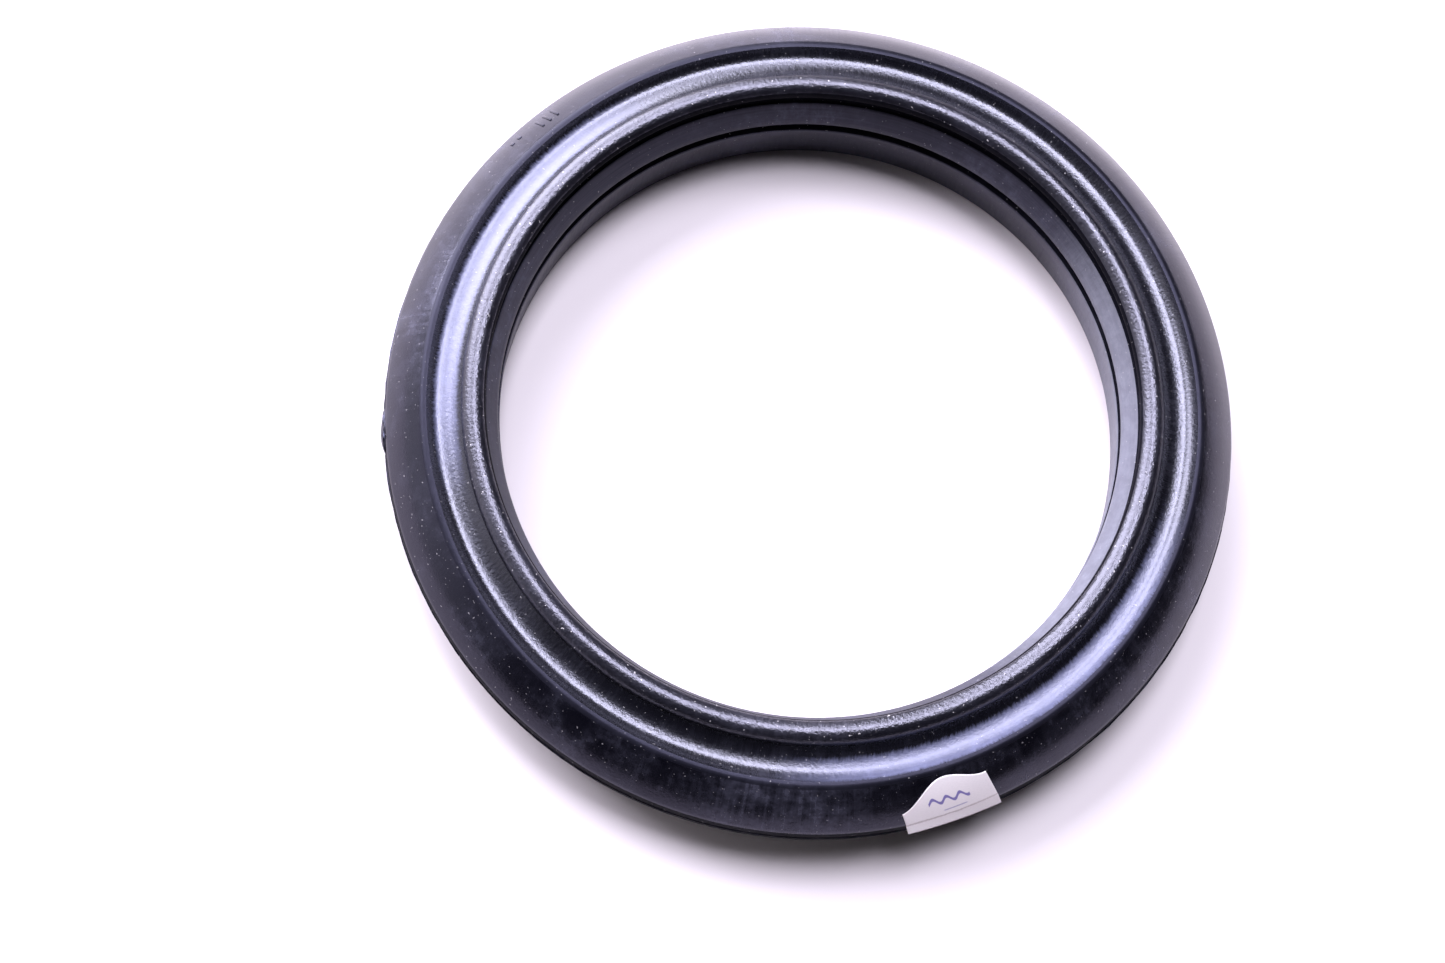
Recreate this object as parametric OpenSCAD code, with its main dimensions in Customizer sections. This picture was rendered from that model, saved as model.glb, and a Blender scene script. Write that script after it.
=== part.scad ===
// Round rubber expansion joint: a conical outer flange and an inner pipe collar,
// joined by a thin moulded arch that lets the collar move and tilt in the flange.
// All sizes are in millimetres. The origin is on the axis, at the foot of the collar.

/* [Flange] */
// Radius of the upper outer edge of the flange
flange_r = 73; // [71:0.5:80]
// Height of that edge above the collar's foot
edge_z = 14.8; // [14:0.1:15.5]
// Height of the flange's flat underside above the collar's foot
underside_z = 9.1; // [8:0.1:9.5]
// Radius of the cylindrical seat around the rim, beyond the upper edge
rim_step = 0.6; // [0.4:0.1:1.2]
// Height of the flat crest where the cone meets the arch
crest_z = 21.1; // [20.5:0.1:22]
// Width of the flat crest
crest_land = 0.9; // [0.5:0.1:1.4]

/* [Arch] */
// Radius of the arch's outer edge, at the crest
arch_out_r = 65.6; // [65:0.1:66]
// Radius of the arch's inner edge, at the foot of the bead
arch_in_r = 59.8; // [59.5:0.1:60.2]
// Depth of the groove at its lowest line
groove_drop = 1.4; // [0.8:0.1:1.8]
// Radius of the groove's lowest line
groove_low_r = 63.2; // [62.3:0.1:63.6]
// How flat the groove's floor is: 2 is a parabola, and more has steeper walls
groove_power = 2.4; // [2:0.1:2.8]
// Thickness of the arch's top cover
arch_cover_t = 1.1; // [0.8:0.1:1.3]
// Thickness of each fabric ply
ply_t = 0.5; // [0.3:0.1:0.6]
// Thickness of the arch's lining
arch_liner_t = 0.9; // [0.6:0.1:1.2]

/* [Collar] */
// Radius of the two sealing lands that grip the pipe
bore_r = 54; // [53.5:0.1:54.5]
// Radius of the collar's foot at its inner edge
foot_r = 55.3; // [55:0.1:56]
// Radius of the upper edge of the upper lip
lip_edge_r = 55.8; // [55.4:0.1:56.2]
// Height of the upper edge of the upper lip
lip_edge_z = 18.4; // [18:0.1:18.6]
// Height of the middle of the slit between the two lips
slit_z = 12.4; // [11.4:0.1:13]
// Height of the top of the bead
bead_top_z = 23.2; // [22.8:0.1:24]

/* [Reinforcement] */
// Width of the steel ring inside the flange
stiffener_w = 4.4; // [3:0.1:4.6]
// Thickness of the steel ring inside the flange
stiffener_t = 1.5; // [1:0.1:1.8]
// Diameter of the wire hoop along the rim
rim_wire_d = 1.6; // [1:0.1:2]
// Diameter of the wire hoop under the crest
crest_wire_d = 2.2; // [1.4:0.1:2.4]
// Diameter of the wire bundle inside the bead
bead_core_d = 1.9; // [1.4:0.1:2]
// Thickness of the steel band inside the collar
band_t = 0.8; // [0.5:0.1:1]

/* [Label] */
// Angle around the ring at which the label starts
label_start = 296; // [0:1:359]
// Angle that the label takes up
label_sweep = 13; // [6:1:30]
// Length of the label down the cone, as a change of radius
label_depth = 4.2; // [2:0.1:4.4]
// Thickness of the paper
paper_t = 0.2; // [0.1:0.05:0.3]
// Thickness of the adhesive under the paper
adhesive_t = 0.1; // [0.05:0.05:0.2]

/* [Hidden] */

ring_fn = 180;          // facets of a full turn in a preview
arc_steps = 12;         // straight pieces in each rounded outline
joint_gap = 0.15;       // room left at the arch's edges, which are bonded on the real joint

// flange section
rim_r = flange_r + rim_step;
parting_z = underside_z + 3.5;
crest_out_r = arch_out_r + crest_land;
chamfer = [0.3, 0.5];   // the small break of the rim's upper edge, out and down
cone_rise = (crest_z - edge_z) / (flange_r - crest_out_r);
stiffener_in_r = 67;
stiffener_z = parting_z + ply_t;
rim_wire_at = [rim_r - 2, underside_z + 1.8];
crest_wire_at = [crest_out_r + 1.1, crest_z - 3.5];

// collar section
core_r = 56.8;          // where the lips meet the reinforcement
lip_top_z = 19.5;       // deepest point of the neck, where bead and upper lip meet
land_l = 1;             // length of the upper sealing land
lower_land_l = 1.2;     // length of the lower sealing land
slit_h = 2.3;           // height of the slit's mouth
slit_depth = 1.8;
lower_land_top = slit_z - slit_h / 2;
upper_land_foot = slit_z + slit_h / 2;
bead_centre = [57.7, 21.2];
bead_half_w = 2.1;
bead_core_at = [57.8, 21.1];
wrap_t = 0.35;
band_z = [1.8, 17.6];
ply_z = [0.9, 18.6];
foot_chamfer = 0.6;

// height of the conical face at radius r
function cone_z(r) = edge_z + (flange_r - r) * cone_rise;

// height of the arch's top at radius r: it climbs to the edge on each side of its lowest line
function arch_z(r) =
    let (edge = r > groove_low_r ? arch_out_r : arch_in_r)
    crest_z - groove_drop * (1 - pow(abs((r - groove_low_r) / (edge - groove_low_r)), groove_power));

// points across one layer of the arch, lowered by depth
function arch_line(depth) =
    let (a = arch_in_r + joint_gap, b = arch_out_r - joint_gap)
    [for (i = [0 : arc_steps]) let (r = a + (b - a) * i / arc_steps) [r, arch_z(r) - depth]];

function reversed(points) = [for (i = [len(points) - 1 : -1 : 0]) points[i]];

// the bead's rounded outside, from its outer foot over the top to its inner side
function bead_arc() =
    [for (i = [0 : arc_steps]) let (a = 180 * i / arc_steps)
        bead_centre + [bead_half_w * cos(a), (bead_top_z - bead_centre[1]) * sin(a)]];

// a ring turned from a section
module ring() {
    rotate_extrude($fn = ring_fn) children();
}

// a round hoop of wire, centred at [radius, height]
module hoop(at, d) {
    ring() translate(at) circle(d = d, $fn = 48);
}

// one layer of the arch, from depth to depth + t under its top
module arch_layer(depth, t) {
    ring() polygon(concat(arch_line(depth), reversed(arch_line(depth + t))));
}

// section of the steel ring inside the flange, grown by g at its top and sides
module stiffener_section(g) {
    translate([stiffener_in_r - g, stiffener_z])
        square([stiffener_w + 2 * g, stiffener_t + g]);
}

// a strip of the conical face, lifted by lift and t thick, for the label and its glue
module cone_patch(lift, t) {
    foot = flange_r - 0.6;
    top = foot - label_depth;
    rotate([0, 0, label_start])
        rotate_extrude(angle = label_sweep, $fn = ring_fn)
            polygon([[foot, cone_z(foot) + lift], [top, cone_z(top) + lift],
                [top, cone_z(top) + lift + t], [foot, cone_z(foot) + lift + t]]);
}

module flange_cover() {
    color("#24232b")
        ring() difference() {
            polygon([[arch_out_r, parting_z], [rim_r, parting_z],
                [flange_r + chamfer[0], edge_z - chamfer[1]], [flange_r, edge_z],
                [crest_out_r, crest_z], [arch_out_r, crest_z]]);
            stiffener_section(ply_t);
            translate([stiffener_in_r - ply_t, parting_z - 1])
                square([stiffener_w + 2 * ply_t, 1 + ply_t]);
            translate(crest_wire_at) circle(d = crest_wire_d, $fn = 48);
        }
}

module flange_base() {
    color("#1b1a20")
        ring() difference() {
            translate([arch_out_r, underside_z])
                square([rim_r - arch_out_r, parting_z - underside_z]);
            translate(rim_wire_at) circle(d = rim_wire_d, $fn = 48);
        }
}

module flange_upper_ply() {
    color("#b9a98a")
        ring() difference() {
            stiffener_section(ply_t);
            stiffener_section(0);
        }
}

module flange_lower_ply() {
    color("#a89878")
        ring() translate([stiffener_in_r - ply_t, parting_z])
            square([stiffener_w + 2 * ply_t, ply_t]);
}

module flange_stiffener() {
    color("silver") ring() stiffener_section(0);
}

module rim_wire() {
    color("#a7a9ac") hoop(rim_wire_at, rim_wire_d);
}

module crest_wire() {
    color("#a7a9ac") hoop(crest_wire_at, crest_wire_d);
}

module label_paper() {
    color("#e4deda") cone_patch(adhesive_t, paper_t);
}

module label_adhesive() {
    color("#cbbf9a") cone_patch(0, adhesive_t);
}

module arch_cover() {
    color("#2b2a33") arch_layer(0, arch_cover_t);
}

module arch_outer_ply() {
    color("#b9a98a") arch_layer(arch_cover_t, ply_t);
}

module arch_inner_ply() {
    color("#a89878") arch_layer(arch_cover_t + ply_t, ply_t);
}

module arch_liner() {
    color("#17161b") arch_layer(arch_cover_t + 2 * ply_t, arch_liner_t);
}

module bead_cover() {
    color("#2a2932")
        ring() difference() {
            polygon(concat([[arch_in_r, lip_top_z]], bead_arc(),
                [[bead_centre[0] - bead_half_w + 0.6, 20.4], [core_r, lip_top_z]]));
            translate(bead_core_at) circle(d = bead_core_d + 2 * wrap_t, $fn = 48);
        }
}

module bead_wrap() {
    color("#8d8a84")
        ring() translate(bead_core_at) difference() {
            circle(d = bead_core_d + 2 * wrap_t, $fn = 48);
            circle(d = bead_core_d, $fn = 48);
        }
}

module bead_core() {
    color("#b08d57") hoop(bead_core_at, bead_core_d);
}

module upper_lip() {
    color("#34333d")
        ring() polygon([[core_r, lip_top_z], [lip_edge_r + 0.5, lip_edge_z + 0.2],
            [lip_edge_r, lip_edge_z], [bore_r, upper_land_foot + land_l],
            [bore_r, upper_land_foot], [bore_r + slit_depth, slit_z], [core_r, slit_z]]);
}

module lower_lip() {
    color("#26252d")
        ring() polygon([[core_r, slit_z], [bore_r + slit_depth, slit_z],
            [bore_r, lower_land_top], [bore_r, lower_land_top - lower_land_l],
            [foot_r, 0], [core_r, 0]]);
}

module collar_ply() {
    color("#b9a98a")
        ring() translate([core_r, ply_z[0]]) square([ply_t, ply_z[1] - ply_z[0]]);
}

module collar_band() {
    color("silver")
        ring() translate([core_r + ply_t, band_z[0]]) square([band_t, band_z[1] - band_z[0]]);
}

module collar_cover() {
    color("#1f1e25")
        ring() difference() {
            polygon([[core_r, 0], [arch_in_r - foot_chamfer, 0], [arch_in_r, foot_chamfer],
                [arch_in_r, lip_top_z], [core_r, lip_top_z]]);
            translate([core_r, ply_z[0]]) square([ply_t, ply_z[1] - ply_z[0]]);
            translate([core_r + ply_t, band_z[0]]) square([band_t, band_z[1] - band_z[0]]);
        }
}

flange_cover();
flange_base();
flange_upper_ply();
flange_lower_ply();
flange_stiffener();
rim_wire();
crest_wire();
label_paper();
label_adhesive();
arch_cover();
arch_outer_ply();
arch_inner_ply();
arch_liner();
bead_cover();
bead_wrap();
bead_core();
upper_lip();
lower_lip();
collar_ply();
collar_band();
collar_cover();
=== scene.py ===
# %% [markdown]
# # A moulded rubber expansion joint
#
# The part is one ring of black rubber: a conical flange outside, a shallow groove that can
# flex, a round bead, and an inner collar with two lips that grip a pipe. A paper label is
# stuck on it. Almost every surface is turned, so one tool, a section swept once around the
# axis, makes nearly all of it. The rest of the work is in the finish: dust, mould streaks and
# grain decide whether it reads as rubber.

# %% Load the frame
import bpy
import bmesh
from math import cos, degrees, pi, radians, sin
from mathutils import Matrix, Vector, noise
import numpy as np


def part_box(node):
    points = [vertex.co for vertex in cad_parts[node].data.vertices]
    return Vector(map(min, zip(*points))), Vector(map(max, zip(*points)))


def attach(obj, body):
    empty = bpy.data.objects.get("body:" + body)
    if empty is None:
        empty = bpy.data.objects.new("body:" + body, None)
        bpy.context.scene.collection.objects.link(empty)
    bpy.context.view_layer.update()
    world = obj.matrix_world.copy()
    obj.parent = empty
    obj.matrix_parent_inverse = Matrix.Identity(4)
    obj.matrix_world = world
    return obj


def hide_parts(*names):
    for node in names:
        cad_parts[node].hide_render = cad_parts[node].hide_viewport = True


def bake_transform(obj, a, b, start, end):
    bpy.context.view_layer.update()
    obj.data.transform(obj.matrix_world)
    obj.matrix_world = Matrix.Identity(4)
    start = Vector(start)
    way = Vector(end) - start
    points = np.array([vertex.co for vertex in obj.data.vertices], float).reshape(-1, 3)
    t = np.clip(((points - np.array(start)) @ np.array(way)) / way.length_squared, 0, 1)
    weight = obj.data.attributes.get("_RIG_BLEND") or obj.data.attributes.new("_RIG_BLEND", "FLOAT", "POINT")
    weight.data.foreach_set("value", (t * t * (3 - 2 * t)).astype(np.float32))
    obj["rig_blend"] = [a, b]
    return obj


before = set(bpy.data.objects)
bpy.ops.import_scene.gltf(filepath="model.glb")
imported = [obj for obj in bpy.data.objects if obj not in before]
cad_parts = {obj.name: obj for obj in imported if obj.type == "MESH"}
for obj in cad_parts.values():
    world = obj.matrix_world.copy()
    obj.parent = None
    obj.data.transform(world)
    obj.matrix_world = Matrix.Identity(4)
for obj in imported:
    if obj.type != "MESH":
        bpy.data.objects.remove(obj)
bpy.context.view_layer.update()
MM = 0.001

# %% [markdown]
# ## Sizes
#
# Heights and radii come from the boxes of the CAD nodes, so the looks stay on the frame. They
# are kept in millimetres, because a turned section is easiest to read in them. The few that
# no box gives, such as the width of the crest, are named here.

# %% Sizes read from the frame
def top(node):
    """Height of a node's highest point, in millimetres."""
    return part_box(node)[1].z / MM


def foot(node):
    """Height of a node's lowest point, in millimetres."""
    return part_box(node)[0].z / MM


def reach(node):
    """Radius of a node's outer wall, in millimetres."""
    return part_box(node)[1].y / MM


bond = 0.15                           # room that the CAD leaves at the arch's bonded edges
rim_r = reach("flange_base")
underside_z = foot("flange_base")
parting_z = top("flange_base")
crest_z = top("flange_cover")
collar_r = reach("collar_cover")
arch_out_r = reach("arch_cover") + bond
arch_in_r = collar_r
bead_z = top("bead_cover")
neck_z = top("upper_lip")
slit_z = top("lower_lip")
rim_step = 0.6                        # from the seat's wall in to the cone's foot
rim_wall_h = 2.2                      # from the parting line up to the cone's foot
crest_land_w = 0.9
flange_r = rim_r - rim_step
edge_z = parting_z + rim_wall_h
crest_out_r = arch_out_r + crest_land_w
ply = 0.5                             # one layer of cord fabric
groove_drop = 1.4
groove_low_r = 63.2
groove_power = 2.4                    # 2 is a parabola; more has a flatter floor
bore_r = 54.0
core_r = 56.8
print(f"rim {rim_r:.2f}, crest {crest_z:.2f}, arch {arch_in_r:.2f} to {arch_out_r:.2f}")

# %% [markdown]
# ## Camera
#
# The camera looks down at the ring from its near side, at about 71 degrees, from 346 mm away.
# It is first aimed at the middle of the flange's upper edge, and then panned, tipped and
# rolled a little, as a camera held in the hand is. Each of those three is a turn about one of
# the camera's own axes.

# %% Aim the camera
camera_rise = radians(71.10)
camera_distance = 4.742 * flange_r * MM
camera_pan = radians(1.908)
camera_tip = radians(-2.740)
camera_roll = radians(-15.03)

aim = Vector((0, 0, edge_z * MM))
back = Vector((0, -cos(camera_rise), sin(camera_rise)))
right = Vector((1, 0, 0))
level = Matrix((right, back.cross(right), back)).transposed()
turn = (Matrix.Rotation(camera_pan, 3, "Y") @ Matrix.Rotation(camera_tip, 3, "X")
        @ Matrix.Rotation(-camera_roll, 3, "Z"))

lens = bpy.data.cameras.new("camera")
lens.lens = 49.83
lens.sensor_width = 36
lens.clip_start = 0.01
camera = bpy.data.objects.new("camera", lens)
camera.matrix_world = (Matrix.Translation(aim + back * camera_distance)
                       @ (level @ turn).to_4x4())
bpy.context.collection.objects.link(camera)
bpy.context.scene.camera = camera
print("camera at", [round(v / MM) for v in camera.location])

# %% [markdown]
# ## Table and light
#
# The ring lies on a white table, lit like a room with one wide window on the far left and a
# smaller box overhead. Black rubber shows only what it reflects, so the size and place of the
# two lamps draw the picture: the window gives the broad pale band along the groove, and the
# box gives the fine line on the bead. The near side has no lamp, which keeps the near flange
# black.

# %% Table and lamps
bpy.ops.mesh.primitive_plane_add(size=6)
table = bpy.context.object
table.name = "table"
table.data.materials.clear()


def way(azimuth, elevation):
    """A direction from the ring, in degrees around it and above the table."""
    a, e = radians(azimuth), radians(elevation)
    return Vector((cos(a) * cos(e), sin(a) * cos(e), sin(e)))


def softbox(name, start, end, width, distance, radiance, colour):
    """A flat lamp that faces the ring and reaches from one direction to another."""
    out = (start + end).normalized()
    along = (end - start).normalized()
    data = bpy.data.lights.new(name, "AREA")
    data.shape = "RECTANGLE"
    data.size, data.size_y = (end - start).length * distance, width
    data.energy = radiance * pi * data.size * data.size_y
    data.color = colour
    lamp = bpy.data.objects.new(name, data)
    lamp.matrix_world = Matrix.Translation(out * distance) @ Matrix(
        (along, out.cross(along), out)).transposed().to_4x4()
    bpy.context.collection.objects.link(lamp)
    return lamp


softbox("window", way(110, 30), way(172, 30), 1.35, 1.3, 14, (0.86, 0.86, 1.0))
softbox("overhead", way(44, 69), way(112, 69), 0.62, 1.3, 24, (0.86, 0.86, 1.0))
for lamp in bpy.data.lights:
    print(f"{lamp.name}: {lamp.size:.2f} by {lamp.size_y:.2f} m, {lamp.energy:.0f} W")

# %% [markdown]
# The glow low behind the ring, towards the window, is what the far flange reflects. It could
# be a third lamp, but a lamp that low would also light the table. Here it is a world shader:
# the dot product of each direction with the glow's own is 1 in the middle of the glow and
# falls to almost nothing on the near side, where the room is dark. The view transform is
# Standard, because the default one lifts blacks to grey.

# %% Glow of the room
world = bpy.data.worlds.new("room")
bpy.context.scene.world = world
world.use_nodes = True
room = world.node_tree
direction = room.nodes.new("ShaderNodeTexCoord").outputs["Generated"]
facing = room.nodes.new("ShaderNodeVectorMath")
facing.operation = "DOT_PRODUCT"
facing.inputs[1].default_value = way(160, 5)
room.links.new(direction, facing.inputs[0])
glow = room.nodes.new("ShaderNodeMapRange")
glow.interpolation_type = "SMOOTHSTEP"
glow.inputs["From Min"].default_value = 0.3
glow.inputs["From Max"].default_value = 1.0
glow.inputs["To Min"].default_value = 0.02
glow.inputs["To Max"].default_value = 2.0
room.links.new(facing.outputs["Value"], glow.inputs["Value"])
room.nodes["Background"].inputs["Color"].default_value = (0.94, 0.92, 1.0, 1)
room.links.new(glow.outputs["Result"], room.nodes["Background"].inputs["Strength"])
bpy.context.scene.view_settings.view_transform = "Standard"
print("world:", world.name, "strongest towards", [round(v, 2) for v in way(160, 5)])

# %% [markdown]
# ## Writing materials as sums
#
# A node tree is easier to read as arithmetic than as a list of links. `Signal` wraps a socket
# and adds a Math node for each operator, and `Paint` makes any other node from its type, its
# settings and the values of its sockets.

# %% The material tools
class Signal:
    """A socket that Python arithmetic works on."""

    def __init__(self, paint, socket):
        self.paint = paint
        self.socket = socket

    def math(self, operation, first, second=0.0):
        return self.paint.node("ShaderNodeMath", {"operation": operation}, {0: first, 1: second})

    def __add__(self, other):
        return self.math("ADD", self, other)

    def __sub__(self, other):
        return self.math("SUBTRACT", self, other)

    def __mul__(self, other):
        return self.math("MULTIPLY", self, other)

    def __truediv__(self, other):
        return self.math("DIVIDE", self, other)

    def __pow__(self, other):
        return self.math("POWER", self, other)

    def __rsub__(self, other):
        return self.math("SUBTRACT", other, self)

    __radd__ = __add__
    __rmul__ = __mul__

    def clamped(self):
        return self.paint.node("ShaderNodeClamp", {}, {"Value": self})

    def sine(self):
        return self.math("SINE", self)

    def size(self):
        return self.math("ABSOLUTE", self)


class Paint:
    """One material and its nodes, which feed its Principled shader."""

    def __init__(self, name):
        self.material = bpy.data.materials.new(name)
        self.material.use_nodes = True
        self.tree = self.material.node_tree
        self.shader = self.tree.nodes["Principled BSDF"]

    def node(self, kind, settings, inputs, output=0):
        made = self.tree.nodes.new(kind)
        for key, value in settings.items():
            setattr(made, key, value)
        for key, value in inputs.items():
            if isinstance(value, Signal):
                self.tree.links.new(value.socket, made.inputs[key])
            else:
                made.inputs[key].default_value = value
        return Signal(self, made.outputs[output])

    def place(self):
        """Object coordinates, in metres."""
        return self.node("ShaderNodeTexCoord", {}, {}, "Object")

    def split(self, vector):
        """The three parts of a vector."""
        first = self.node("ShaderNodeSeparateXYZ", {}, {0: vector})
        return [Signal(self, part) for part in first.socket.node.outputs]

    def joined(self, x, y, z):
        return self.node("ShaderNodeCombineXYZ", {}, {0: x, 1: y, 2: z})

    def noise(self, where, scale, detail=3.0, roughness=0.55):
        return self.node("ShaderNodeTexNoise", {}, {"Vector": where, "Scale": scale,
                         "Detail": detail, "Roughness": roughness}, "Fac")

    def ramp(self, value, low, high):
        """0 below low, 1 above high, and a smooth rise between."""
        return self.node("ShaderNodeMapRange", {"interpolation_type": "SMOOTHSTEP"},
                         {"Value": value, "From Min": low, "From Max": high})

    def window(self, value, rise, fall):
        """1 between two ramps: it rises over the first pair and falls over the second."""
        return self.ramp(value, *rise) * (1 - self.ramp(value, *fall))

    def blend(self, share, first, second):
        """A colour that goes from first to second."""
        return self.node("ShaderNodeMix", {"data_type": "RGBA"},
                         {0: share, 6: first, 7: second}, 2)

    def bump(self, height, strength, distance):
        """A normal bent by a height; distance is how deep a height of 1 goes, in metres."""
        return self.node("ShaderNodeBump", {}, {"Height": height, "Strength": strength,
                         "Distance": distance})

    def finish(self, fixed, **varying):
        """Sets the shader's constants, links what varies, and gives back the material."""
        for key, value in fixed.items():
            self.shader.inputs[key].default_value = value
        for key, value in varying.items():
            self.tree.links.new(value.socket, self.shader.inputs[key.replace("_", " ")])
        return self.material


def ring_coordinates(paint):
    """Cosine and sine around the ring, the radius and the height: none has a seam."""
    x, y, z = paint.split(paint.place())
    radius = (x * x + y * y) ** 0.5
    return x / radius, y / radius, radius, z


# %% [markdown]
# ## Black moulded rubber
#
# The compound is nearly black, with a violet cast. What the eye reads on it is its surface: a
# pale bloom of dust in blotches, fine streaks left around the ring by
# wiping, short streaks across it, pale bluish patches with hairy edges, cream crumbs, and a
# grain that makes a highlight sparkle. On the lips the pale patch is painted light, on the
# side that faces the window, and a duller, darker rubber is painted shade in the recesses.
# One function makes all of these from the ring's own coordinates, and each region of the
# ring asks for its own amounts. `cast` tints what the rubber reflects head on. At grazing
# angles a reflection keeps the lamp's own colour.

# %% The rubber
ink_black = (0.0016, 0.0015, 0.0030, 1)
cream = (0.50, 0.47, 0.48, 1)         # crumbs of chalk and lint
fade = 12                             # degrees over which a pale patch ends, around the ring
dust_violet = (0.115, 0.113, 0.158, 1)


def rubber(name, bloom, haze, roughness, wiped, grain, gloss=0.5, cast=(0.72, 0.70, 1.0, 1),
           pale_patches=(), pale_patch_colour=(0.11, 0.115, 0.19, 1), specks=0.3):
    """Black rubber. bloom is the blotches' strength, haze an even layer of dust, wiped the streaks.

    Each pale patch is (azimuth, half width, inner radius, outer radius), in degrees and millimetres.
    """
    p = Paint(name)
    c, s, radius, z = ring_coordinates(p)
    place = p.place()
    around = p.joined(c * 2.2, s * 2.2, (radius + z * 0.7) * 2600)
    across = p.joined(c * 95, s * 95, (radius + z) * 260)
    strokes = p.noise(around, 1.0, 4, 0.6)
    lines = p.ramp(p.noise(across, 1.0, 3, 0.6), 0.40, 0.75)
    clouds = p.ramp(p.noise(place, 42, 6, 0.70), 0.42, 0.72)
    flecks = p.ramp(p.noise(place, 420, 4, 0.70), 0.35, 0.75)
    dust = clouds * (flecks * 0.7 + strokes * 0.3 + lines * 0.3) * bloom + strokes * haze
    tint = p.blend(dust.clamped(), ink_black, dust_violet)
    rough = roughness + dust * 0.35 + (strokes - 0.5) * wiped + (lines - 0.5) * 0.05
    hairs = p.noise(p.joined(c * 190 + radius * 500, s * 190 + radius * 500, radius * 700),
                    1.0, 4, 0.65)
    # Each pale patch tints a sector of the ring, with hairy edges. On the lips it is painted light.
    for azimuth, half, inner, outer in pale_patches:
        a = radians(azimuth)
        facing = c * cos(a) + s * sin(a) + (hairs - 0.5) * 0.10
        sector = p.ramp(facing, cos(radians(half + fade)), cos(radians(half - fade)))
        place_r = radius / MM + (hairs - 0.5) * 1.6
        band = p.window(place_r, (inner - 0.5, inner + 0.5), (outer - 0.4, outer + 0.4))
        pale_patch = sector * band * (0.55 + flecks * 0.3 + strokes * 0.3)
        tint = p.blend(pale_patch.clamped(), tint, pale_patch_colour)
        rough = rough + pale_patch * 0.12
    grit = p.ramp(p.noise(place, 2100, 1.0, 0.5), 0.72, 0.78)
    base = p.blend(grit * specks, tint, cream)
    fine = p.noise(place, 1900, 2.0, 0.6)
    height = fine * grain + strokes * (wiped * 0.8) + lines * 0.10
    fixed = {"Specular IOR Level": gloss, "Specular Tint": cast}
    return p.finish(fixed, Base_Color=base, Roughness=rough.clamped(),
                    Normal=p.bump(height, 0.5, 0.00005))


flange_rubber = rubber("flange_rubber", 0.40, 0.01, 0.20, 0.12, 0.6, gloss=0.4)
crest_rubber = rubber("crest_rubber", 0.10, 0.05, 0.36, 0.05, 0.6, gloss=0.22)
groove_rubber = rubber("groove_rubber", 0.10, 0.01, 0.28, 0.05, 2.2, gloss=0.8,
                       cast=(0.86, 0.85, 1.0, 1),
                       pale_patches=[(318, 30, 61.8, 65.5), (172, 30, 60.6, 64.4)])
bead_rubber = rubber("bead_rubber", 0.18, 0.04, 0.30, 0.06, 4.0, gloss=0.8,
                     cast=(0.86, 0.84, 1.0, 1), specks=0.8)
# The lips' pale patch, at 4 degrees, is painted light: their side that faces the window is made paler, in
# streaks.
lip_rubber = rubber("lip_rubber", 0.60, 0.35, 0.35, 0.10, 0.4, gloss=0.2,
                    pale_patches=[(4, 40, 50, 60)], pale_patch_colour=(0.15, 0.15, 0.180, 1))
# A duller, darker rubber with little dust: painted shade in the neck, the slit and the rim wall, and the
# plain finish of the hidden undersides.
dull_shade_rubber = rubber("dull_shade_rubber", 0.10, 0.01, 0.60, 0.08, 0.6, gloss=0.03)
for made in (flange_rubber, crest_rubber, groove_rubber, bead_rubber, lip_rubber, dull_shade_rubber):
    print(f"{made.name}: {len(made.node_tree.nodes)} nodes")

# %% [markdown]
# ## The hidden reinforcement
#
# Fabric plies, steel rings and wire hoops sit inside the rubber, and are seen only where the
# part is cut or its cover is lifted away. They keep their CAD shapes, and each gets the
# finish it would have from the reel: woven cord, rolled strip and drawn wire.

# %% Fabric, steel and wire
def cord_fabric():
    """Cords laid around the ring, crossed by a light weft."""
    p = Paint("cord_fabric")
    c, s, radius, z = ring_coordinates(p)
    warp = p.node("ShaderNodeTexWave", {"wave_type": "BANDS", "bands_direction": "Z"},
                  {"Vector": p.joined(0.0, 0.0, radius + z), "Scale": 420.0})
    weft = p.node("ShaderNodeTexWave", {"wave_type": "RINGS", "rings_direction": "Z"},
                  {"Vector": p.joined(c, s, 0.0), "Scale": 60.0, "Distortion": 0.6})
    thread = warp * 0.6 + p.noise(p.joined(c * 260, s * 260, radius * 90), 1.0) * 0.4
    base = p.blend(thread, (0.20, 0.16, 0.105, 1), (0.52, 0.44, 0.31, 1))
    return p.finish({}, Base_Color=base, Roughness=0.75 + weft * 0.1,
                    Normal=p.bump(thread, 0.6, 0.0001))


def rolled_steel(name, light, dark, roughness):
    """Metal with drawing lines around the ring, and stains."""
    p = Paint(name)
    c, s, radius, z = ring_coordinates(p)
    drawn = p.noise(p.joined(c * 3, s * 3, (radius + z) * 5200), 1.0, 3)
    stain = p.ramp(p.noise(p.place(), 60, 4), 0.45, 0.7)
    base = p.blend(stain * 0.5 + drawn * 0.4, light, dark)
    return p.finish({"Metallic": 1.0}, Base_Color=base, Roughness=roughness + drawn * 0.2,
                    Normal=p.bump(drawn, 0.3, 0.00005))


fabric = cord_fabric()
strip = rolled_steel("rolled_strip", (0.62, 0.62, 0.64, 1), (0.36, 0.36, 0.38, 1), 0.30)
wire = rolled_steel("drawn_wire", (0.55, 0.55, 0.57, 1), (0.30, 0.30, 0.32, 1), 0.34)
bronze = rolled_steel("bead_wire", (0.62, 0.44, 0.22, 1), (0.34, 0.22, 0.10, 1), 0.34)

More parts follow.
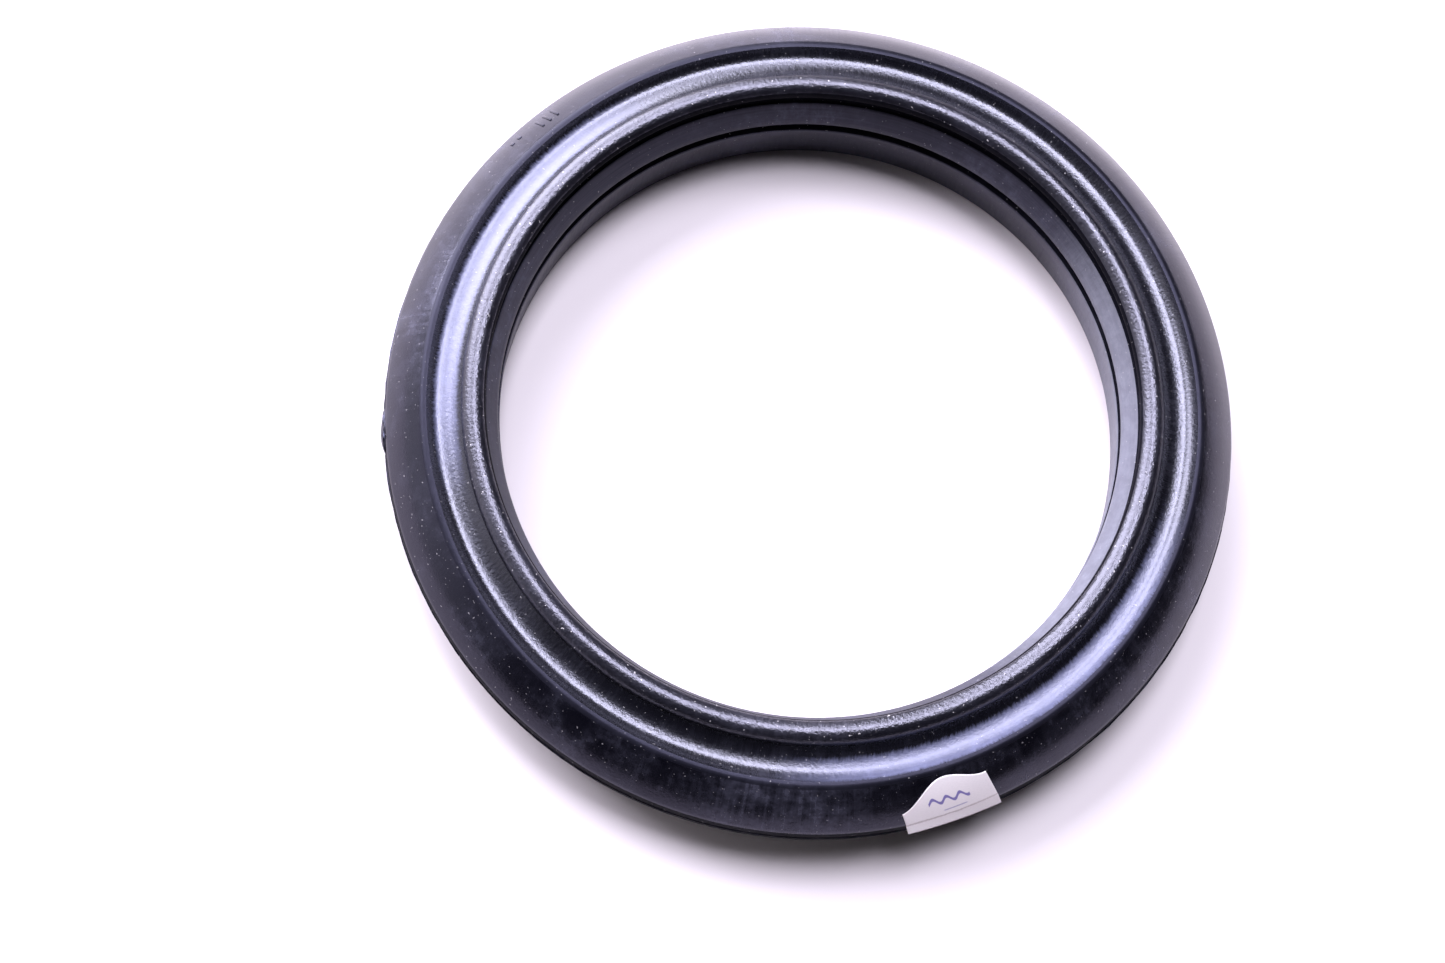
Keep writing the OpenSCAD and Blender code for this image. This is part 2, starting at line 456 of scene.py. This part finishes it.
kept_nodes = {
    fabric: ["flange_upper_ply", "flange_lower_ply", "collar_ply", "bead_wrap"],
    strip: ["flange_stiffener", "collar_band"],
    wire: ["rim_wire", "crest_wire"],
    bronze: ["bead_core"],
}
for material, nodes in kept_nodes.items():
    for node in nodes:
        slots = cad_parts[node].data.materials
        slots.clear()
        slots.append(material)
print("finished", sum(map(len, kept_nodes.values())), "hidden nodes")

# %% [markdown]
# ## The turning tool
#
# A lathe makes a ring from its section, and so does this: the section is drawn as one face in
# the XZ plane, its corners are rounded with a vertex bevel, the face is dropped and its outline
# is spun once around Z. Rounding the section rather than the finished ring costs a handful of
# points, and every edge of the ring comes out even.

# %% Turn a ring from a section
around_steps = 240
sharp = radians(32)                   # edges that turn more than this stay crisp
up = Vector((0, 0, 1))


def spun(bm, outline):
    """Spins a closed outline of (radius, height, rounding) once around Z."""
    corners = [bm.verts.new((r * MM, 0, z * MM)) for r, z, _ in outline]
    bm.faces.new(corners)
    for corner, (_, _, rounding) in zip(corners, outline):
        if rounding:
            bmesh.ops.bevel(bm, geom=[corner], offset=rounding * MM, offset_type="OFFSET",
                            affect="VERTICES", segments=5, profile=0.5, material=-1)
    face = next(iter(bm.faces))
    rim = list(face.edges)
    bmesh.ops.delete(bm, geom=[face], context="FACES_ONLY")
    bmesh.ops.spin(bm, geom=rim, cent=(0, 0, 0), axis=up, dvec=(0, 0, 0), angle=2 * pi,
                   steps=around_steps, use_merge=True, use_duplicate=False)


def linked(name, bm):
    """Makes a finished bmesh into an object, and links it."""
    mesh = bpy.data.meshes.new(name)
    bm.to_mesh(mesh)
    bm.free()
    piece = bpy.data.objects.new(name, mesh)
    bpy.context.collection.objects.link(piece)
    print(f"{name}: {len(mesh.polygons)} faces")
    return piece


def turned(name, outline, pockets=()):
    """A ring with the given section, and hollows inside it for what it is moulded around."""
    whole = bmesh.new()
    for inside, section in [(False, outline)] + [(True, pocket) for pocket in pockets]:
        bm = bmesh.new()
        spun(bm, section)
        bmesh.ops.remove_doubles(bm, verts=bm.verts, dist=0.000001)
        bmesh.ops.recalc_face_normals(bm, faces=bm.faces)
        if inside:
            bmesh.ops.reverse_faces(bm, faces=bm.faces)
        part = bpy.data.meshes.new("part")
        bm.to_mesh(part)
        bm.free()
        whole.from_mesh(part)
        bpy.data.meshes.remove(part)
    for face in whole.faces:
        face.smooth = True
    for edge in whole.edges:
        edge.smooth = len(edge.link_faces) != 2 or edge.calc_face_angle(0) < sharp
    return linked(name, whole)


def dressed(piece, material, slot, *nodes):
    """Gives a piece its material, and hides the CAD nodes that it stands for."""
    piece.data.materials.append(material)
    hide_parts(*nodes)
    return piece


def zoned(piece, material, low_r, high_r, low_z, high_z):
    """Gives the faces inside a ring-shaped zone, in millimetres, a material of their own."""
    piece.data.materials.append(material)
    index = len(piece.data.materials) - 1
    for face in piece.data.polygons:
        radius, height = face.center.xy.length / MM, face.center.z / MM
        if low_r < radius < high_r and low_z < height < high_z:
            face.material_index = index


def round_section(centre, width, sides=24):
    """A circle's outline, for the pocket around a hoop of wire."""
    return [(centre[0] + width / 2 * cos(2 * pi * i / sides),
             centre[1] + width / 2 * sin(2 * pi * i / sides), 0) for i in range(sides)]


# %% [markdown]
# ## The flange
#
# The flange is moulded in two halves of one tool, which meet at the parting line low on the
# rim. Above it are the small chamfer, the cone and the flat crest. Below it is the seat that
# centres the joint in its recess. The steel ring in its fabric lies on the parting plane, and
# the two hoops of wire have pockets of their own.

# %% Flange cover and base
stiffener_w = 4.4
stiffener_out = reach("flange_stiffener")
stiffener_in = stiffener_out - stiffener_w
stiffener_top = top("flange_stiffener") + ply
crest_wire_at = (crest_out_r + 1.1, (top("crest_wire") + foot("crest_wire")) / 2)
rim_wire_at = (rim_r - 2.0, (top("rim_wire") + foot("rim_wire")) / 2)

crown = 0.245                         # the cone's bulge, as much outwards as upwards
cone_steps = 8


def crowned(share):
    """Radius and height on the cone's slightly crowned line: 0 at its foot, 1 at the crest."""
    bulge = crown * sin(pi * min(max(share, 0), 1))
    return (flange_r + (crest_out_r - flange_r) * share + bulge,
            edge_z + (crest_z - edge_z) * share + bulge)


cone_line = [(*crowned(i / cone_steps), 0) for i in range(1, cone_steps)]


cover = turned("flange_skin", [
    (arch_out_r, parting_z, 0), (stiffener_in - ply, parting_z, 0),
    (stiffener_in - ply, stiffener_top, 0), (stiffener_out + ply, stiffener_top, 0),
    (stiffener_out + ply, parting_z, 0), (rim_r, parting_z, 0.12),
    (flange_r + 0.3, edge_z - 0.5, 0.2), (flange_r, edge_z, 0.25)]
    + cone_line + [(crest_out_r, crest_z, 0.45), (arch_out_r, crest_z, 0)],
    [round_section(crest_wire_at, top("crest_wire") - foot("crest_wire"))])
dressed(cover, flange_rubber, "cover_rubber", "flange_cover")
zoned(cover, crest_rubber, arch_out_r - 0.1, crest_out_r + 0.5, crest_z - 0.4, crest_z + 1)
# The rim wall gets the duller, darker rubber: painted shade.
zoned(cover, dull_shade_rubber, flange_r, rim_r + 1, parting_z - 1, edge_z - 0.4)
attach(cover, "flange")

base = turned("flange_seat", [
    (arch_out_r, underside_z, 0.4), (rim_r, underside_z, 0.5),
    (rim_r, parting_z, 0.12), (arch_out_r, parting_z, 0)],
    [round_section(rim_wire_at, top("rim_wire") - foot("rim_wire"))])
dressed(base, dull_shade_rubber, "inner_rubber", "flange_base")
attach(base, "flange")

# %% [markdown]
# ## The arch
#
# The groove between crest and bead is the web that flexes. It has four layers: cover, two plies
# and a lining, all with the same dished shape on top and below. Its outer half carries the
# sliding motion and its inner half the tilt, so each layer is two rings that meet in the middle
# of the groove.

# %% Arch layers
arch_mid_r = (arch_in_r + arch_out_r) / 2
arch_steps = 14
seam_step = 0.02                      # a last short step, so that shading meets at the seam


def arch_top(r):
    """Height of the groove's surface at a radius: it climbs on both sides of its lowest line."""
    edge = arch_out_r if r > groove_low_r else arch_in_r
    share = abs((r - groove_low_r) / (edge - groove_low_r))
    return crest_z - groove_drop * (1 - share ** groove_power)


def arch_radii(bonded, middle):
    """Radii from a bonded edge to the middle of the groove, with a short last step."""
    last = middle + (seam_step if bonded > middle else -seam_step)
    return [bonded + (last - bonded) * i / arch_steps for i in range(arch_steps + 1)] + [middle]


def arch_half(name, bonded, depth, thickness):
    """One half of a layer, from its bonded edge to the middle of the groove."""
    radii = arch_radii(bonded, arch_mid_r)
    upper = [(r, arch_top(r) - depth, 0) for r in radii]
    lower = [(r, arch_top(r) - depth - thickness, 0) for r in reversed(radii)]
    return turned(name, upper + lower)


def flex(piece, fixed, moving, start_r, end_r):
    """Lets a ring follow one body at start_r and another at end_r, smoothly between."""
    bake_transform(piece, fixed, moving, start=(start_r * MM, 0, 0), end=(end_r * MM, 0, 0))
    weights = piece.data.attributes["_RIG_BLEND"].data
    for vertex, weight in zip(piece.data.vertices, weights):
        radius = vertex.co.xy.length / MM
        share = min(max((radius - start_r) / (end_r - start_r), 0), 1)
        weight.value = share * share * (3 - 2 * share)


cover_t, liner_t = 1.1, 0.9
layers = [
    ("arch_cover", "cover_rubber", groove_rubber, 0, cover_t),
    ("arch_outer_ply", "cord_fabric", fabric, cover_t, ply),
    ("arch_inner_ply", "cord_fabric", fabric, cover_t + ply, ply),
    ("arch_liner", "inner_rubber", dull_shade_rubber, cover_t + 2 * ply, liner_t),
]
for node, slot, material, depth, thickness in layers:
    outer = arch_half(node + ".outer", arch_out_r, depth, thickness)
    dressed(outer, material, slot, node)
    flex(outer, "flange", "arch", arch_out_r, arch_mid_r)
    inner = arch_half(node + ".inner", arch_in_r, depth, thickness)
    dressed(inner, material, slot, node)
    flex(inner, "arch", "collar", arch_mid_r, arch_in_r)

# %% [markdown]
# ## The bead and the collar
#
# The bead is a round roll of rubber over a wrapped bundle of wire. Under it the bore has a
# concave neck, then the upper lip, which narrows down to its sealing land, a slit, and the
# lower lip, which opens again towards the foot. The outer wall of the collar is plain.

# %% Bead, lips and collar wall
bead_centre = (57.7, 21.2)
bead_half_width = 2.1
bead_sides = 24
bead_rise = bead_z - bead_centre[1]
bead_round = [(bead_centre[0] + bead_half_width * cos(pi * i / bead_sides),
               bead_centre[1] + bead_rise * sin(pi * i / bead_sides), 0)
              for i in range(bead_sides + 1)]
wrap_at = (57.8, (top("bead_wrap") + foot("bead_wrap")) / 2)
bead = turned("bead_roll", [(arch_in_r, neck_z, 0)] + bead_round + [
    (bead_centre[0] - bead_half_width + 0.25, 20.4, 0.3), (core_r, neck_z, 0)],
    [round_section(wrap_at, top("bead_wrap") - foot("bead_wrap"))])
dressed(bead, bead_rubber, "cover_rubber", "bead_cover")
# The neck under the bead gets the duller, darker rubber: painted shade in the recess.
zoned(bead, dull_shade_rubber, 0, bead_centre[0] - 1.75, 0, bead_centre[1] + 1.0)
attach(bead, "collar")

slit_half = 1.15
slit_bottom_r = bore_r + 1.8
upper_lip = turned("upper_seal_lip", [
    (core_r, neck_z, 0), (56.3, 18.6, 0.3), (55.8, 18.4, 0.3),
    (bore_r, slit_z + slit_half + 1, 0.6), (bore_r, slit_z + slit_half, 0.25),
    (slit_bottom_r, slit_z, 0), (core_r, slit_z, 0)])
dressed(upper_lip, lip_rubber, "lip_rubber", "upper_lip")
# Its neck and the top of the slit get the duller, darker rubber: painted shade in the recesses.
zoned(upper_lip, dull_shade_rubber, 0, core_r, 18.45, 30)
zoned(upper_lip, dull_shade_rubber, 0, core_r, slit_z, slit_z + slit_half + 0.3)
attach(upper_lip, "collar")

lower_lip = turned("lower_seal_lip", [
    (core_r, slit_z, 0), (slit_bottom_r, slit_z, 0), (bore_r, slit_z - slit_half, 0.25),
    (bore_r, slit_z - slit_half - 1.2, 0.8), (55.3, 0, 0.5), (core_r, 0, 0)])
dressed(lower_lip, lip_rubber, "lip_rubber", "lower_lip")
# The slit's lower face gets the duller, darker rubber: painted shade in the recess.
zoned(lower_lip, dull_shade_rubber, 0, core_r, slit_z - slit_half + 0.05, slit_z)
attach(lower_lip, "collar")

band_out_r = reach("collar_band")
ply_out_r = core_r + ply
wall = turned("collar_wall", [
    (core_r, 0, 0), (collar_r, 0, 0.7), (collar_r, neck_z, 0), (core_r, neck_z, 0),
    (core_r, top("collar_ply"), 0), (ply_out_r, top("collar_ply"), 0),
    (ply_out_r, top("collar_band"), 0), (band_out_r, top("collar_band"), 0),
    (band_out_r, foot("collar_band"), 0), (ply_out_r, foot("collar_band"), 0),
    (ply_out_r, foot("collar_ply"), 0), (core_r, foot("collar_ply"), 0)])
dressed(wall, dull_shade_rubber, "inner_rubber", "collar_cover")
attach(wall, "collar")

# %% [markdown]
# ## Flash and moulded marks
#
# Where the halves of the mould meet, a little rubber is squeezed out. It is left as a thin,
# uneven fin around the rim, with one thicker nib. The fin is turned like the rest, and then
# its outer points are moved in and out by a fixed noise.

# %% Flash fin
fin_root_r = rim_r - 0.3
fin_neck_r = rim_r + 0.04
fin_tip_r = rim_r + 0.16
flash = turned("rim_flash", [
    (fin_root_r, parting_z - 0.10, 0), (fin_neck_r, parting_z - 0.06, 0),
    (fin_tip_r, parting_z, 0), (fin_neck_r, parting_z + 0.06, 0),
    (fin_root_r, parting_z + 0.10, 0)])
for vertex in flash.data.vertices:
    if vertex.co.xy.length > (rim_r + 0.1) * MM:
        ragged = noise.fractal(vertex.co * 900, 1.0, 2.0, 4) * 0.12
        vertex.co.xy *= 1 + min(max(ragged, -0.08), 0.14) / rim_r
dressed(flash, flange_rubber, "cover_rubber")
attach(flash, "flange")

# %% [markdown]
# The nib, the raised marks and the label aren't turned, so they need a way to find their
# places. `on_cone` gives a point from two numbers that could be measured with a tape on the
# real ring: how far around it, and how far up the cone from its foot.

# %% Places on the cone
cone_length = ((flange_r - crest_out_r) ** 2 + (crest_z - edge_z) ** 2) ** 0.5
cone_out = (crest_z - edge_z) / cone_length
cone_up = (flange_r - crest_out_r) / cone_length
print(f"cone: {cone_length:.2f} mm long")


def around(r, azimuth, z):
    """A point from its radius, its degrees around the ring and its height."""
    a = radians(azimuth)
    return Vector((r * cos(a), r * sin(a), z)) * MM


def on_cone(azimuth, up_slope, lift=0.0):
    """A point on the crowned cone: degrees around, mm up from its foot, mm above it."""
    r, z = crowned(up_slope / cone_length)
    return around(r + cone_out * lift, azimuth, z + cone_up * lift)


def small_piece(name, bm, material, slot, *nodes):
    """Finishes a bmesh as a smooth piece that rides on the flange."""
    bmesh.ops.recalc_face_normals(bm, faces=bm.faces)
    for face in bm.faces:
        face.smooth = True
    piece = linked(name, bm)
    piece.data.materials.append(material)
    if nodes:
        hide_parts(*nodes)
    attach(piece, "flange")
    return piece


# %% Nib
nib_at = 199                          # degrees around the ring
nib_half = Vector((0.75, 4.4, 1.5))   # out, around and up
bm = bmesh.new()
bmesh.ops.create_icosphere(bm, subdivisions=4, radius=1)
for vertex in bm.verts:
    rough = 1 + 0.25 * noise.noise(vertex.co * 2.3)
    out, side, high = (a * b for a, b in zip(vertex.co, nib_half))
    vertex.co = around(rim_r - 0.25 + out * rough, nib_at + degrees(side / rim_r),
                       parting_z + 0.2 + high * rough)
small_piece("flash_nib", bm, flange_rubber, "cover_rubber")

# %% [markdown]
# ## Raised marks
#
# A mould often leaves a group of raised marks on the flange. Here they are three plain bars
# and two pips. Each is a cube with soft edges, turned to lie on the cone. `standing` builds
# that turn from three directions: around the ring, up the slope and off the surface.

# %% Raised marks
mark_height = 0.14
bars = [(145.6, 4.6, 0.5, 3.2), (147.0, 4.6, 0.5, 3.2), (148.4, 4.6, 0.5, 3.2)]
pips = [(151.8, 3.4, 0.8, 0.8), (153.2, 3.4, 0.8, 0.8)]


def standing(azimuth, up_slope, size):
    """Turns a unit shape to lie on the cone: x around it, y up its slope, z off it."""
    a = radians(azimuth)
    along = Vector((-sin(a), cos(a), 0))
    slope = (on_cone(azimuth, up_slope + 0.5) - on_cone(azimuth, up_slope - 0.5)).normalized()
    axes = Matrix((along, slope, along.cross(slope))).transposed().to_4x4()
    return (Matrix.Translation(on_cone(azimuth, up_slope)) @ axes
            @ Matrix.Diagonal([v * MM for v in size] + [1]))


bm = bmesh.new()
for azimuth, up_slope, width, length in bars + pips:
    made = bmesh.ops.create_cube(bm, size=1, matrix=standing(
        azimuth, up_slope, (width, length, mark_height * 2)))
    edges = list({edge for vertex in made["verts"] for edge in vertex.link_edges})
    bmesh.ops.bevel(bm, geom=edges, offset=0.1 * MM, offset_type="OFFSET", affect="EDGES",
                    segments=3, profile=0.5, material=-1)
small_piece("mould_marks", bm, flange_rubber, "cover_rubber")

# %% [markdown]
# ## The paper label
#
# A strip of paper is stuck to the cone with its lower end folded over the rim, where it has
# let go. Its inner edge was cut in a wave. It starts as a grid, because a grid can be laid on
# any surface: each column is stretched to the wave, and each point is put on the cone or on
# the flap. The pen stroke is drawn by the material, in the label's own UV map, where one
# unit is a millimetre. It is only a squiggle.

# %% Label shape
flap_l = 2.3                          # the part folded over the rim
label_start = 296.5                   # degrees around the ring
label_sweep = 12.7
label_width = 15.5
label_left_h = 2.3                    # height up the cone at its left corner
label_rise = 3.7                      # and how much more at its right corner
label_hump = 3.6


def label_point(across, up_slope, lift):
    """A point of the label: 0 to 1 across it, mm up the cone (negative on the flap)."""
    lean = 0.16 if up_slope > 0 else 0.1
    azimuth = label_start + label_sweep * across - lean * up_slope
    if up_slope >= 0:
        return on_cone(azimuth, up_slope, lift)
    sag = 0.105 * sin(pi * across)
    r = flange_r - up_slope * (0.62 - 0.10 * across) + lift * 0.8 - sag
    return around(r, azimuth, edge_z + up_slope * 0.78 + lift * 0.6)


def label_layer(name, lift, thickness, margin, low, material, slot, node):
    """A sheet on the cone: lift above it, margin inside the label's outline, low its foot."""
    columns, rows = 60, 44
    bm = bmesh.new()
    uv = bm.loops.layers.uv.new("label")
    bmesh.ops.create_grid(bm, x_segments=columns, y_segments=rows, size=0.5)
    flat = {}
    for vertex in bm.verts:
        across = margin + (vertex.co.x + 0.5) * (1 - 2 * margin)
        wave = (label_left_h + label_rise * across - margin * 16
                + label_hump * max(sin(pi * across), 0) ** 1.7)
        up_slope = low + (vertex.co.y + 0.5) * (wave - low)
        flat[vertex] = (across, up_slope)
        vertex.co = label_point(across, up_slope, lift)
    for face in bm.faces:
        for loop in face.loops:
            across, up_slope = flat[loop.vert]
            loop[uv].uv = (across * label_width, up_slope)
    bmesh.ops.recalc_face_normals(bm, faces=bm.faces)
    bmesh.ops.solidify(bm, geom=bm.faces, thickness=thickness * MM)
    return small_piece(name, bm, material, slot, node)


# %% Label finishes
def label_stock():
    """Paper with fibres, a dent along its fold darkened with painted shade, and a wavy pen line."""
    p = Paint("label_paper")
    u, v, _ = p.split(p.node("ShaderNodeUVMap", {"uv_map": "label"}, {}))
    wobble = p.noise(p.joined(u * 3, v * 3, 0.0), 1.0, 2)
    wave = (u * 2.7 - 0.4).sine()
    off_wave = (v - (3.4 + wave * 0.55)).size()
    stroke = ((1 - p.ramp(off_wave + wobble * 0.12, 0.30, 0.50))
              * p.window(u, (4.4, 4.6), (11.4, 11.6)))
    off_line = (v - (0.75 + u * 0.05)).size()
    second = ((1 - p.ramp(off_line + wobble * 0.10, 0.12, 0.24))
              * p.window(u, (6.4, 6.8), (10.2, 10.8)))
    off_fold = (v - (u - 7.0) * 0.05).size()
    fold_dent_and_shade = (1 - p.ramp(off_fold + (wobble - 0.5) * 0.5, 0.0, 0.30)) * (0.3 + wobble * 0.7)
    fibres = p.noise(p.joined(u * 2.2, v * 9, 0.0), 1.0, 5, 0.7)
    grain = p.noise(p.joined(u * 14, v * 14, 0.0), 1.0, 3, 0.6)
    base = p.blend(fibres, (0.64, 0.585, 0.60, 1), (0.86, 0.80, 0.80, 1))
    # The fold's line is darkened: painted shade along the fold.
    base = p.blend((fold_dent_and_shade * 0.8).clamped(), base, (0.30, 0.22, 0.22, 1))
    ink = (stroke + second * 0.6).clamped() * (0.65 + grain * 0.5)
    base = p.blend(ink.clamped(), base, (0.13, 0.10, 0.34, 1))
    return p.finish({"Specular IOR Level": 0.25}, Base_Color=base,
                    Roughness=0.75 + fibres * 0.15,
                    Normal=p.bump(fibres * 0.6 + grain * 0.4 - fold_dent_and_shade, 0.5, 0.00008))


def label_glue():
    """Smeared amber adhesive."""
    p = Paint("label_glue")
    smear = p.noise(p.place(), 900, 4, 0.6)
    base = p.blend(smear, (0.42, 0.36, 0.24, 1), (0.62, 0.56, 0.42, 1))
    return p.finish({}, Base_Color=base, Roughness=0.35 + smear * 0.3,
                    Normal=p.bump(smear, 0.4, 0.00005))


# %% Label paper and glue
label_layer("label_strip", 0.12, 0.12, 0.0, -flap_l, label_stock(), "label_stock", "label_paper")
label_layer("label_gum", 0.01, 0.08, 0.02, 0.3, label_glue(), "label_glue", "label_adhesive")

# %% [markdown]
# ## The table's finish
#
# The table is a matte white board with clouds too faint to notice. It is given its finish
# last, because it isn't part of the ring. The flash and the label's flap stand a little
# proud of the CAD model's box.

# %% The table's finish
def table_top():
    """White laminate, slightly warm, to balance the violet of the lamps."""
    p = Paint("white_table")
    cloud = p.noise(p.place(), 3.0, 3)
    base = p.blend(cloud, (0.66, 0.60, 0.61, 1), (0.69, 0.63, 0.64, 1))
    return p.finish({"Specular IOR Level": 0.2}, Base_Color=base, Roughness=0.55 + cloud * 0.1)


table.data.materials.append(table_top())
print("table finished")
